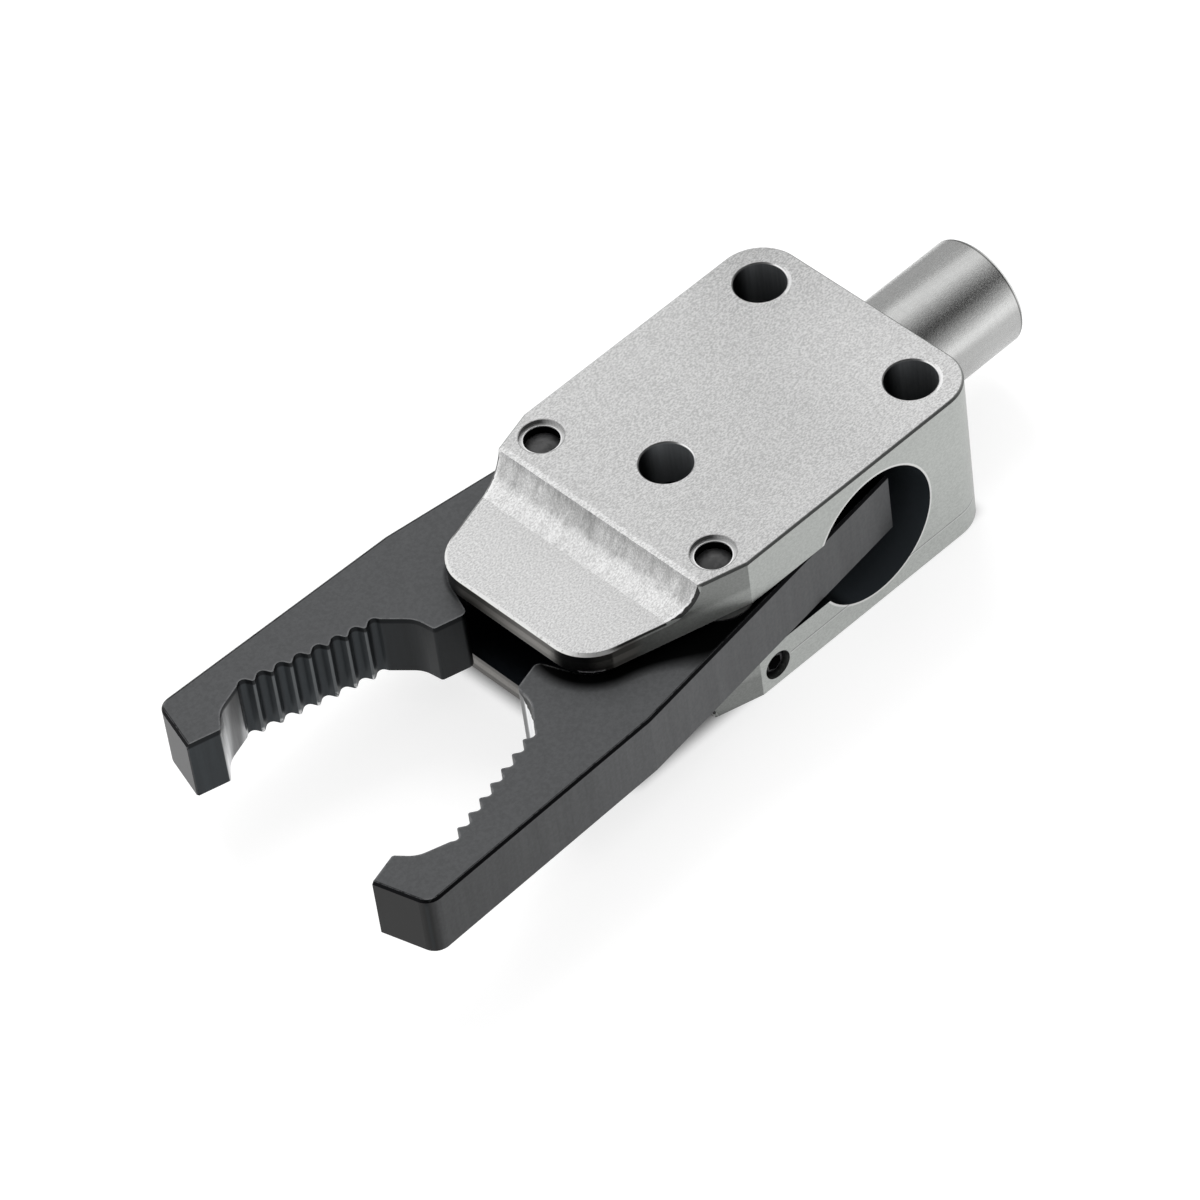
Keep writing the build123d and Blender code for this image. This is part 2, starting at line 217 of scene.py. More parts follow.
def put(tree, socket, value):
    """Link a socket to another, or set its value."""
    if isinstance(value, bpy.types.NodeSocket):
        tree.links.new(value, socket)
    elif socket.type == "RGBA":
        socket.default_value = (*value[:3], 1.0)
    else:
        socket.default_value = value


def node(tree, kind, inputs=None, **settings):
    """A new node with its settings made and its inputs filled."""
    made = tree.nodes.new("ShaderNode" + kind)
    for name, value in settings.items():
        setattr(made, name, value)
    for key, value in (inputs or {}).items():
        put(tree, made.inputs[key], value)
    return made


def calc(tree, operation, *values, clamp=False):
    """The result of a sum on sockets or numbers."""
    made = node(tree, "Math", operation=operation, use_clamp=clamp)
    for socket, value in zip(made.inputs, values):
        put(tree, socket, value)
    return made.outputs[0]


def ramp(tree, value, factor, start):
    """A value times a factor, counted from a start."""
    return calc(tree, "MULTIPLY_ADD", value, factor, start)


def less(tree, value, taken):
    """A value less another."""
    return calc(tree, "SUBTRACT", value, taken)


def sway(tree, tone, amount, middle):
    """A value that a tone from 0 to 1 moves to both sides of its middle."""
    return ramp(tree, less(tree, tone, 0.5), amount, middle)


def step(tree, value, start, end):
    """0 before start and 1 after end, with a soft change between."""
    made = node(tree, "MapRange", {"Value": value}, interpolation_type="SMOOTHSTEP")
    if start <= end:
        made.inputs["From Min"].default_value, made.inputs["From Max"].default_value = start, end
    else:
        made.inputs["From Min"].default_value, made.inputs["From Max"].default_value = end, start
        made.inputs["To Min"].default_value, made.inputs["To Max"].default_value = 1.0, 0.0
    return made.outputs["Result"]


def near(tree, value, centre, reach, soft):
    """1 within reach of centre, and 0 outside it."""
    return step(tree, calc(tree, "ABSOLUTE", less(tree, value, centre)), reach + soft, reach)


def combine(tree, operation, masks):
    """One mask from several, each a mask or the value, start and end of a step."""
    result, *others = [step(tree, *mask) if isinstance(mask, tuple) else mask for mask in masks]
    for other in others:
        result = calc(tree, operation, result, other)
    return result


def both(tree, *masks):
    """Where all masks hold."""
    return combine(tree, "MULTIPLY", masks)


def either(tree, *masks):
    """Where any mask holds."""
    return combine(tree, "MAXIMUM", masks)


def scale(tree, colour, level):
    """A colour times a level."""
    return node(tree, "VectorMath", {0: colour, "Scale": level}, operation="SCALE").outputs["Vector"]


def vary(tree, colour, *tones):
    """A colour made lighter and darker by each tone from 0 to 1, by the amount beside it."""
    for tone, amount in tones:
        colour = scale(tree, colour, sway(tree, tone, amount, 1.0))
    return colour


def lift(tree, colour, *masks):
    """A colour made lighter or darker where each mask holds, by the factor beside it."""
    for mask, factor in masks:
        colour = scale(tree, colour, ramp(tree, mask, factor - 1.0, 1.0))
    return colour


def paint(tree, colour, *coats):
    """A colour under coats of paint, each a mask, the coat's strength and its colour."""
    for mask, strength, over in coats:
        made = node(tree, "Mix", data_type="RGBA")
        put(tree, made.inputs["Factor"], mask if strength == 1 else both(tree, mask, strength))
        put(tree, made.inputs["A"], colour)
        put(tree, made.inputs["B"], over)
        colour = made.outputs["Result"]
    return colour


def grey(level):
    """A grey colour."""
    return level, level, level


def no(tree, mask):
    """Where a mask doesn't hold."""
    return less(tree, 1.0, mask)


def noise(tree, place, size, detail, roughness=0.5):
    """Noise from 0 to 1."""
    return node(tree, "TexNoise", {"Vector": place, "Scale": size, "Detail": detail,
                                   "Roughness": roughness}).outputs["Fac"]


def apart(tree, x, y, centre):
    """Distance from a centre in a plane."""
    across, along = less(tree, x, centre[0]), less(tree, y, centre[1])
    return calc(tree, "SQRT", calc(tree, "ADD", both(tree, across, across), both(tree, along, along)))


def seen_round(tree, x, y, centres):
    """For each upright hole, the distance from its axis and the way across it, from the camera's side."""
    return [(apart(tree, x, y, centre), less(tree, less(tree, y, centre[1]), less(tree, x, centre[0])))
            for centre in centres]


def at_holes(tree, holes, shape, *reach, side=None):
    """A step or near mask on the distance from each hole's axis, on one side of the hole if that is given."""
    masks = []
    for distance, toward in holes:
        mask = shape(tree, distance, *reach)
        masks.append(both(tree, mask, (toward, *side)) if side else mask)
    return either(tree, *masks)


def new_group(name, inputs, outputs):
    """A shader node group with named sockets."""
    group = bpy.data.node_groups.new(name, "ShaderNodeTree")
    for label, kind, default in inputs:
        socket = group.interface.new_socket(name=label, in_out="INPUT", socket_type="NodeSocket" + kind)
        if default is not None:
            socket.default_value = default
    for label, kind in outputs:
        group.interface.new_socket(name=label, in_out="OUTPUT", socket_type="NodeSocket" + kind)
    return group, group.nodes.new("NodeGroupInput").outputs, group.nodes.new("NodeGroupOutput").inputs


def make_blasted_grain():
    """Even fine grain of a blasted or plated face, with soft cloudy patches."""
    group, given, result = new_group(
        "blasted_grain",
        [("Place", "Vector", None), ("Grain", "Float", 5.0), ("Cloud", "Float", 0.12)],
        [("Tone", "Float"), ("Height", "Float")])
    fine = noise(group, given["Place"], given["Grain"], 3.0, 0.65)
    cloud = noise(group, given["Place"], given["Cloud"], 3.0, 0.6)
    put(group, result["Tone"], ramp(group, cloud, 0.25, calc(group, "MULTIPLY", step(group, fine, 0.34, 0.66), 0.75)))
    put(group, result["Height"], fine)
    return group


def make_tool_lines():
    """Long fine lines that a tool leaves, and faint broad bands across them."""
    group, given, result = new_group(
        "tool_lines",
        [("Place", "Vector", None), ("Stretch", "Vector", (0.06, 1.0, 4.0))],
        [("Tone", "Float"), ("Height", "Float")])
    drawn = node(group, "VectorMath", {0: given["Place"], 1: given["Stretch"]}, operation="MULTIPLY").outputs[0]
    lines = noise(group, drawn, 1.6, 5.0, 0.7)
    bands = noise(group, drawn, 0.35, 1.0)
    put(group, result["Tone"], ramp(group, bands, 0.4, calc(group, "MULTIPLY", lines, 0.6)))
    put(group, result["Height"], lines)
    return group


def make_scuffs():
    """Short scattered scratches and specks from handling."""
    group, given, result = new_group(
        "scuffs",
        [("Place", "Vector", None), ("Spread", "Float", 0.35), ("Share", "Float", 0.1)],
        [("Mask", "Float")])
    turned = node(group, "Mapping", {"Vector": given["Place"], "Rotation": (0.3, 0.2, 0.7),
                                     "Scale": (1.0, 5.0, 1.0)}).outputs["Vector"]
    past_limit = less(group, noise(group, turned, given["Spread"], 4.0, 0.75), less(group, 0.80, given["Share"]))
    put(group, result["Mask"], calc(group, "MULTIPLY", past_limit, 12.0, clamp=True))
    return group


def make_edge_wear():
    """1 at a sharp edge and 0 away from it, broken up a little as real wear is."""
    group, given, result = new_group(
        "edge_wear",
        [("Place", "Vector", None), ("Reach", "Float", 0.0002)],
        [("Mask", "Float")])
    rounded = node(group, "Bevel", {"Radius": given["Reach"]}, samples=6).outputs["Normal"]
    straight = node(group, "NewGeometry").outputs["Normal"]
    agree = node(group, "VectorMath", {0: rounded, 1: straight}, operation="DOT_PRODUCT").outputs["Value"]
    patches = noise(group, given["Place"], 2.5, 2.0)
    put(group, result["Mask"], both(group, (agree, 0.995, 0.93), (patches, 0.25, 0.55)))
    return group


EFFECT_MAKERS = {"blasted_grain": make_blasted_grain, "tool_lines": make_tool_lines, "scuffs": make_scuffs,
                 "edge_wear": make_edge_wear}
shared_effects = {}


def effect(tree, name, **inputs):
    """Place a shared effect in a material, and give back its outputs."""
    if name not in shared_effects:
        shared_effects[name] = EFFECT_MAKERS[name]()
    made = tree.nodes.new("ShaderNodeGroup")
    made.node_tree = shared_effects[name]
    for label, value in inputs.items():
        put(tree, made.inputs[label.capitalize()], value)
    return made.outputs


def new_finish(name):
    """A material with its Principled shader, its place in millimetres, and that place's parts."""
    material = bpy.data.materials.new(name)
    material.use_nodes = True
    tree = material.node_tree
    surface = tree.nodes["Principled BSDF"]
    metres = node(tree, "TexCoord").outputs["Object"]
    place = node(tree, "VectorMath", {0: metres, "Scale": 1 / MM}, operation="SCALE").outputs["Vector"]
    parts = node(tree, "SeparateXYZ", {0: place}).outputs
    return material, tree, surface, place, parts["X"], parts["Y"], parts["Z"]


def relief(tree, surface, height, depth, sharpness):
    """Give the surface a bump, with its depth in millimetres."""
    bump = node(tree, "Bump", {"Height": height, "Distance": depth * MM, "Strength": sharpness})
    put(tree, surface.inputs["Normal"], bump.outputs["Normal"])


def dress(name, material):
    """Give a carried-over CAD node its finish."""
    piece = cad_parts[name]
    for place in piece.material_slots:
        place.material = material


def make_housing_finish(colours):
    """Blasted outer faces and milled sides with a window rim and a witness line, with painted shade that darkens the
    bores, slot, holes, sides, flanks and edges, and painted highlights on rims and edges.
    """
    material, tree, surface, place, x, y, z = new_finish("housing_blasted_alloy")
    height = calc(tree, "ABSOLUTE", z)
    width = calc(tree, "ABSOLUTE", y)
    drawn = node(tree, "VectorMath", {0: place, 1: (0.6, 1.0, 1.0)}, operation="MULTIPLY").outputs["Vector"]
    grain = effect(tree, "blasted_grain", place=drawn, grain=7.5, cloud=0.10)
    lines = effect(tree, "tool_lines", place=place, stretch=(0.05, 1.0, 3.0))
    marks = effect(tree, "tool_lines", place=place, stretch=(0.5, 2.4, 0.5))
    drill_lines = effect(tree, "tool_lines", place=place, stretch=(2.2, 2.2, 0.10))
    patchy = noise(tree, place, 0.9, 3.0, 0.6)
    specks = noise(tree, place, 3.2, 1.0)

    # Outer faces, from the top down to the tongues
    on_top = step(tree, height, TOP - 0.01, TOP - 0.005)
    off_top = no(tree, on_top)
    on_tongue = both(tree, near(tree, height, TONGUE, 0.015, 0.01), (x, HOLLOW_X - 0.05, HOLLOW_X))
    across_flank = ramp(tree, x, math.tan(FLANK_ANGLE), width)
    hollow_side = step(tree, across_flank, FLANK_LINE - 0.02, FLANK_LINE - 0.01)
    in_hollow = both(tree, (x, SHOULDER_X - 0.02, SHOULDER_X), (height, TONGUE - 0.02, TONGUE - 0.01),
                     (x, HOLLOW_X, HOLLOW_X - 0.05), (height, TOP, TOP - 0.01), no(tree, hollow_side))
    upper = either(tree, on_top, on_tongue, in_hollow)

    # A painted highlight as a light strip at the shoulder, and painted shade as a dark band at the hollow's foot
    shoulder_highlight = both(tree, on_top, (ramp(tree, specks, 0.35, x), SHOULDER_X - 0.42, SHOULDER_X - 0.25))
    hollow_foot_shade = both(tree, in_hollow, (ramp(tree, patchy, 1.3, x), SHOULDER_X + 2.2, SHOULDER_X + 1.3))

    # Chamfers, tongue edges and the tapered flanks, where shade and highlights are painted
    rim_turn = (37.2, 38.6)
    # Painted shade on the top's chamfers
    chamfer_shade = both(tree, (height, TOP - 0.215, TOP - 0.195), (height, TOP - 0.03, TOP - 0.07),
                   off_top, no(tree, in_hollow))
    tongue_rim = both(tree, near(tree, height, TONGUE - 0.125, 0.12, 0.01), no(tree, on_tongue))
    # A broken painted highlight on the tongues' front rims, and painted shade on their side rims
    front_rim_highlight = both(tree, tongue_rim, (x, *rim_turn))
    side_rim_shade = both(tree, tongue_rim, (height, TONGUE - 0.17, TONGUE - 0.13),
                    (x, HOLLOW_X - 0.05, HOLLOW_X), (x, *reversed(rim_turn)))
    # Painted shade on the tongues' fronts, darker in a band near the top and at the bottom, and nearly black at their
    # corners
    tongue_front_shade = both(tree, (height, TONGUE, TONGUE - 0.02), (height, SLOT, SLOT + 0.01),
                       (x, FRONT_X - 5.5, FRONT_X - 4.2))
    tongue_corner_shade = both(tree, tongue_front_shade, (width, 5.0, 6.2), (width, 8.9, 7.9))
    # The flanks get painted shade, lighter low on the left
    flank = both(tree, (x, TAPER_X, TAPER_X + 0.05), no(tree, upper), hollow_side)
    low_flank = both(tree, flank, (height, TONGUE + 0.1, TONGUE - 0.5))
    lit_left_low_flank = both(tree, low_flank, (y, 0.0, 0.1))
    ragged_flank = sway(tree, specks, 0.22, across_flank)
    # A painted dark line along the hollow's edge, and a painted highlight on its lip
    flank_line_shade = both(tree, in_hollow, (ragged_flank, FLANK_LINE - 0.25, FLANK_LINE - 0.22))
    hollow_lip_highlight = both(tree, in_hollow, (across_flank, FLANK_LINE - 0.52, FLANK_LINE - 0.36))
    # A painted glint on a burr at the lower tongue's corner
    burr_glint = both(tree, (height, SLOT + 0.20, SLOT + 0.14), (x, 38.7, 38.9), (y, 7.2, 7.4), (y, 9.2, 8.9))

    # Cylinder, window, slot and the line beside the screw; painted shade in the cylinder and the slot, and a painted
    # highlight on the window's rim
    bore_distance = apart(tree, x, z, (CYLINDER_X, 0.0))
    shaded_cylinder = both(tree, (bore_distance, CYLINDER_RADIUS + 0.015, CYLINDER_RADIUS + 0.01),
                       (width, SIDE - 0.005, SIDE - 0.02))
    cylinder_mouth_shade = both(tree, shaded_cylinder, (width, 5.0, 9.0), (x, CYLINDER_X + 4.5, CYLINDER_X + 2.5))
    # Painted highlight round the window's rim
    window_rim_highlight = both(tree, near(tree, bore_distance, CYLINDER_RADIUS + 0.08, 0.07, 0.06),
                      (width, SIDE - 0.02, SIDE - 0.01))
    in_slot = both(tree, (height, SLOT + 0.01, SLOT + 0.005), (x, CYLINDER_X, CYLINDER_X + 0.05))
    slot_end = (37.5, 40.6)
    deep_slot_shade = both(tree, in_slot, (x, 31.0, 34.0), (x, *reversed(slot_end)))
    behind_screw = (step(tree, width, SIDE - 0.6, SIDE - 0.5), step(tree, x, SCREW_X - 1.2, SCREW_X - 1.6))
    witness = both(tree, near(tree, z, -TONGUE, 0.035, 0.04), *behind_screw)
    below_witness = both(tree, near(tree, z, -TONGUE - 0.12, 0.03, 0.04), *behind_screw)

    # Fixing holes, and the pins' holes with the rings round them; painted shade in the holes and on one side of the
    # rings' walls, and painted highlights on the lit side of the holes' walls and rims and on the rings' lips
    holes = seen_round(tree, x, y, FIXING_HOLES)
    hole_wall = (step, FIXING_RADIUS + 0.02, FIXING_RADIUS + 0.01)
    hole_break = (step, FIXING_RIM + 0.01, FIXING_RIM - 0.01)
    in_holes = at_holes(tree, holes, *hole_wall)
    lit_walls = at_holes(tree, holes, *hole_wall, side=(-3.3, -0.9))
    hole_rims = both(tree, at_holes(tree, holes, *hole_break), (height, TOP - 0.15, TOP - 0.13), off_top)
    lit_rims = at_holes(tree, holes, *hole_break, side=(0.9, 1.9))
    hole_rim_highlight = at_holes(tree, holes, near, FIXING_RIM + 0.07, 0.08, 0.06, side=(2.6, 3.2))
    pins = seen_round(tree, x, y, PIN_HOLES)
    pin_rings = both(tree, at_holes(tree, pins, step, PIN_RING_RADIUS + 0.01, PIN_RING_RADIUS - 0.01),
                     (height, TOP - 0.37, TOP - 0.36), off_top)
    # Painted shadow on one side of the rings' walls, painted shade down the pins' holes and a painted highlight on the
    # holes' lips
    ring_wall_shadow = both(tree, at_holes(tree, pins, near, PIN_RING_RADIUS, 0.02, 0.01, side=(0.5, -0.3)), off_top,
                      (height, TOP - 0.37, TOP - 0.33))
    pin_hole_shade = both(tree, at_holes(tree, pins, step, PIN_RING_RADIUS - 0.1, PIN_RING_RADIUS - 0.2),
                     (height, TOP - 0.44, TOP - 0.46))
    ring_lip_highlight = both(tree, at_holes(tree, pins, step, PIN_RING_RADIUS - 0.24, PIN_RING_RADIUS - 0.26),
                     (height, TOP - 0.46, TOP - 0.44), off_top)
    ring_lines = at_holes(tree, pins, near, PIN_RING_RADIUS + 0.03, 0.03, 0.03)

    # Colours of the blasted faces, with the cutter's marks in the hollow, stronger in the painted shade at its foot;
    # lighter on the tongue, in the hollow and towards the rear, painted highlights round the rear holes, at the
    # shoulder and on the hollow's lip, and a painted dark line along the flank
    blasted = lift(tree, vary(tree, colours.blasted, (grain["Tone"], 0.62)), (on_tongue, 1.10), (in_hollow, 1.27),
                   (hollow_foot_shade, 0.66), (step(tree, x, 14.0, 3.0), 1.10))
    cut = sway(tree, marks["Tone"], ramp(tree, hollow_foot_shade, 0.6, 0.4), 0.5)
    blasted = vary(tree, blasted, (cut, both(tree, in_hollow, 2.0)))
    blasted = lift(tree, blasted, (both(tree, on_top, hole_rim_highlight, (x, 12.0, 11.0)), 1.6),
                   (both(tree, on_top, ring_lines), 0.6), (shoulder_highlight, 1.22), (hollow_lip_highlight, 1.3))
    blasted = paint(tree, blasted, (flank_line_shade, 0.95, grey(0.02)))

    # Colours of the milled sides, darker partly as painted shade; painted shade on the flanks, lighter low on the left
    # flank and darker low further forward, painted shade on the tongues' fronts, corners, side rims and chamfers,
    # painted highlights on the front rims and the window's rim, a painted glint on a burr, and the witness line
    sides = lift(tree, vary(tree, colours.milled_and_shaded, (lines["Tone"], 0.16), (grain["Tone"], 0.30)), (flank, 0.46),
                 (lit_left_low_flank, 1.45), (both(tree, low_flank, (x, 32.5, 36.0)), 0.70))
    tongue_shade_colour = lift(tree, vary(tree, colours.tongue_front_shade, (lines["Tone"], 0.5)),
                     (near(tree, height, TONGUE - 0.55, 0.22, 0.2), 0.5),
                     (step(tree, height, SLOT + 0.6, SLOT + 0.3), 0.6))
    rim_strength = ramp(tree, step(tree, specks, 0.28, 0.42), 0.35, 0.6)
    sides = paint(
        tree, sides, (tongue_front_shade, 1, tongue_shade_colour), (tongue_corner_shade, 0.9, (0.02, 0.02, 0.022)),
        (front_rim_highlight, rim_strength, (0.90, 0.90, 0.89)), (side_rim_shade, 0.9, grey(0.03)), (burr_glint, 1, grey(0.95)),
        (chamfer_shade, 0.75, grey(0.13)), (window_rim_highlight, 0.7, (0.74, 0.74, 0.73)), (witness, 0.6, grey(0.14)),
        (below_witness, 0.5, grey(0.66)))

    # Colours in the holes, the slot and the cylinder: painted shade, lighter where light reaches in, with the hole rims
    # dark but for a painted highlight on their lit side, painted highlights on the rings' lips and painted shadow on
    # one side of the rings' walls
    # Painted shade in the fixing holes, lighter on their lit side and darker in the front hole
    hole_shade_tone = paint(tree, (0.004, 0.004, 0.005), (lit_walls, 1, (0.19, 0.20, 0.21)))
    hole_shade_tone = vary(tree, lift(tree, hole_shade_tone, (step(tree, x, 14.0, 10.0), 0.7)), (drill_lines["Tone"], 1.3))
    # Painted shade in the slot, deepest under the tongues and lighter towards the open front
    slot_shade_tone = paint(tree, (0.012, 0.015, 0.017), (step(tree, x, *slot_end), 1, (0.032, 0.038, 0.048)),
                      (deep_slot_shade, 1, (0.010, 0.013, 0.020)))
    colour = paint(
        tree, sides, (upper, 1, blasted), (pin_rings, 1, grey(0.68)), (ring_lip_highlight, 1, grey(0.95)),
        (ring_wall_shadow, 0.8, grey(0.10)), (pin_hole_shade, 1, grey(0.004)),
        (hole_rims, 1, paint(tree, grey(0.24), (lit_rims, 1, grey(1.0)))), (in_holes, 1, hole_shade_tone),
        (in_slot, 1, slot_shade_tone), (shaded_cylinder, 1, (0.018, 0.020, 0.023)), (cylinder_mouth_shade, 1, colours.bore_mouth_shade))
    put(tree, surface.inputs["Base Color"], colour)
    dull = either(tree, shaded_cylinder, both(tree, in_slot, ramp(tree, deep_slot_shade, -0.5, 0.7)), lit_left_low_flank,
                  both(tree, in_holes, lit_walls, 2.2))
    put(tree, surface.inputs["Metallic"], ramp(tree, dull, -0.35, 1.0))
    put(tree, surface.inputs["Roughness"], ramp(tree, flank, -0.10, sway(tree, grain["Tone"], 0.10, 0.42)))
    relief(tree, surface, grain["Height"], 0.014, 0.8)
    return material


def make_shank_finish(colours):
    """Bright turned steel with a fine grain and fine rings round its axis, and painted shade that darkens the thread in
    the air port, the end's edge and the lower -Y side.
    """
    material, tree, surface, place, x, y, z = new_finish("shank_turned_steel")
    rings = effect(tree, "tool_lines", place=place, stretch=(8.0, 0.15, 0.15))
    drawn = effect(tree, "tool_lines", place=place, stretch=(0.25, 1.6, 1.6))
    grain = effect(tree, "blasted_grain", place=place, grain=7.0, cloud=0.15)
    radius = apart(tree, y, z, (0.0, 0.0))
    # Painted shade in the air port, along the end's edge and low on the -Y side
    port_shade = both(tree, (radius, 2.7, 2.4), (x, SHANK_END + 0.05, SHANK_END + 0.3))
    end_edge_shade = both(tree, near(tree, x, SHANK_END + 0.37, 0.04, 0.05), (radius, 4.4, 4.55))
    low_left_shade = both(tree, (y, 0.0, 0.5), (z, 2.1, 0.9))
    colour = vary(tree, colours.turned, (rings["Tone"], 0.20), (grain["Tone"], 0.20), (drawn["Tone"], 0.35))
    put(tree, surface.inputs["Base Color"], lift(tree, colour, (low_left_shade, 0.62), (end_edge_shade, 0.35), (port_shade, 0.30)))
    surface.inputs["Metallic"].default_value = 1.0
    put(tree, surface.inputs["Roughness"], sway(tree, grain["Tone"], 0.10, 0.27))
    relief(tree, surface, grain["Height"], 0.014, 0.8)
    return material


def make_jaw_finish(colours, side):
    """Black oxide: mottled outer side, darker gripping side, worn edges, and bare steel where it slides, with painted
    shade on the gripping side, the front, the chamfers and inside the housing, and the tongue's shadow painted on the
    top.
    """
    material, tree, surface, place, x, y, z = new_finish(f"jaw_black_oxide_{side}")
    grain = effect(tree, "blasted_grain", place=place, grain=3.2, cloud=0.25)
    streaks = effect(tree, "tool_lines", place=place, stretch=(1.6, 1.6, 0.10))
    scuffs = effect(tree, "scuffs", place=place, spread=0.45, share=0.10)
    worn = effect(tree, "edge_wear", place=place, reach=0.00030)
    specks = noise(tree, place, 3.0, 2.0)

    # Place on the closed jaw, along it from the pivot and across it
    height = calc(tree, "ABSOLUTE", z)
    width = calc(tree, "ABSOLUTE", y)
    across = less(tree, x, PIN_X)
    out = less(tree, width, PIN_Y)
    cos_open, sin_open = math.cos(OPEN_ANGLE), math.sin(OPEN_ANGLE)
    along = ramp(tree, across, cos_open, calc(tree, "MULTIPLY", out, sin_open))
    beside = ramp(tree, out, cos_open, calc(tree, "MULTIPLY", across, -sin_open))
    arm_line = ramp(tree, along, math.sin(ARM_LEAN), calc(tree, "MULTIPLY", beside, math.cos(ARM_LEAN)))
    nose_line = ramp(tree, less(tree, along, KINK[0]), -math.tan(NOSE_ANGLE), KINK[1])
    nose_depth = calc(tree, "MULTIPLY", less(tree, nose_line, beside), math.cos(NOSE_ANGLE))
    outer_depth = calc(tree, "MINIMUM", less(tree, ARM_OFFSET, arm_line), nose_depth)
    grip_depth = less(tree, beside, GRIP_LINE)
    grip_place = less(tree, along, GRIP_MIDDLE)

    # Distance past the tongue, along its flank and round its corner
    past_flank = calc(tree, "MULTIPLY", less(tree, ramp(tree, x, math.tan(FLANK_ANGLE), width), FLANK_LINE),
                      math.cos(FLANK_ANGLE))
    past_corner = less(tree, apart(tree, x, width, TONGUE_CORNER), TONGUE_CORNER_RADIUS)
    off_corner = no(tree, step(tree, x, TONGUE_CORNER[0] + 0.8, TONGUE_CORNER[0] + 1.3))
    past_tongue = calc(tree, "MAXIMUM", past_flank, ramp(tree, off_corner, -9.0, past_corner))

    # Faces
    flat = step(tree, height, JAW_FACE - 0.01, JAW_FACE - 0.003)
    wall = no(tree, flat)
    at_edge = either(tree, (outer_depth, 0.34, 0.29), (along, JAW_FRONT - 0.34, JAW_FRONT - 0.29))
    # Painted shade on the chamfer round the top edge
    bevel_shade = both(tree, at_edge, (height, JAW_FACE - 0.215, JAW_FACE - 0.19))
    outer = both(tree, wall, (outer_depth, 0.25, 0.10))
    front = both(tree, wall, (along, JAW_FRONT - 0.9, JAW_FRONT - 0.15))
    # Painted shade: the jaw's parts inside the housing are nearly black
    inside = both(tree, no(tree, outer), (x, CYLINDER_X + 7.5, CYLINDER_X + 6.8))
    inner = both(tree, wall, (outer_depth, 0.3, 0.6), (along, JAW_FRONT - 0.05, JAW_FRONT - 0.2))
    crests = both(tree, inner, (calc(tree, "ABSOLUTE", grip_place), 6.3, 6.2), (grip_depth, 3.20, 3.14))
    low_crests = both(tree, crests, (z, -2.35, -2.8), (specks, 0.35, 0.5))
    gripping = both(tree, inner, (along, GRIP_MIDDLE - 13.0, GRIP_MIDDLE - 12.6))
    # Painted shade just under the gripping side's top edge
    under_rim_shade = both(tree, gripping, (z, JAW_FACE - 0.60, JAW_FACE - 0.42))
    behind_teeth = both(tree, gripping, (grip_place, -6.0, -6.6))

    # What wear has left on each jaw, bare steel and a chip of black, and what light and shade is painted: bands on the
    # bare steel, the tongue's shadow on the top and a darker front
    shine = vary(tree, colours.jaw_bare, (streaks["Tone"], 1.6))
    if side == "left":
        ragged = sway(tree, specks, 1.2, ramp(tree, grip_depth, 1.5, z))
        on_hump = both(tree, gripping, near(tree, grip_place, -8.8, 0.8, 0.1))
        chip = both(tree, on_hump, (ragged, 2.95, 3.15), (z, 2.75, 2.5))
        bare = both(tree, on_hump, no(tree, chip))
        # Painted light and shade: a lighter and a darker band across the bare steel
        shine = lift(tree, shine, (step(tree, grip_depth, 0.55, 0.80), 2.4), (step(tree, grip_depth, 0.80, 0.45), 0.38))
        # Painted shadow of the tongue on the jaw's top, nearly black, reaching further out towards the rear
        tongue_shadow_reach = ramp(tree, step(tree, x, 37.5, 29.5), 3.0, 1.3)
        tongue_shadow = calc(tree, "MULTIPLY_ADD", calc(tree, "DIVIDE", past_tongue, tongue_shadow_reach), -1.2, 1.75, clamp=True)
        # Painted shade on the front, nearly black on this jaw
        tongue_shadow_tone, jaw_front_shade = 0.03, (front, 0.02)
    else:
        chip = both(tree, front, (height, 2.2, 2.6), (specks, 0.62, 0.66))
        bare = both(tree, gripping, near(tree, grip_place, 7.75, 1.65, 0.12), (z, JAW_FACE - 0.3, JAW_FACE - 0.4))
        # Painted shade: the bare steel darker towards the top and along a sloped band, lighter at its far end
        sloped_shade = near(tree, ramp(tree, z, 0.12, grip_place), 7.15, 0.35, 0.75)
        shine = lift(tree, shine, (step(tree, z, -2.4, 2.6), 0.45), (sloped_shade, 0.35),
                     (step(tree, grip_place, 8.1, 8.9), 1.5))
        # Painted shade by the tongue on the jaw's top
        tongue_shadow = step(tree, past_tongue, 0.50, 0.12)
        # Painted shade on the outer part of the front
        tongue_shadow_tone, jaw_front_shade = 0.55, (both(tree, front, (outer_depth, 0.4, 0.8)), 0.6)
    tongue_shadow = both(tree, flat, tongue_shadow)

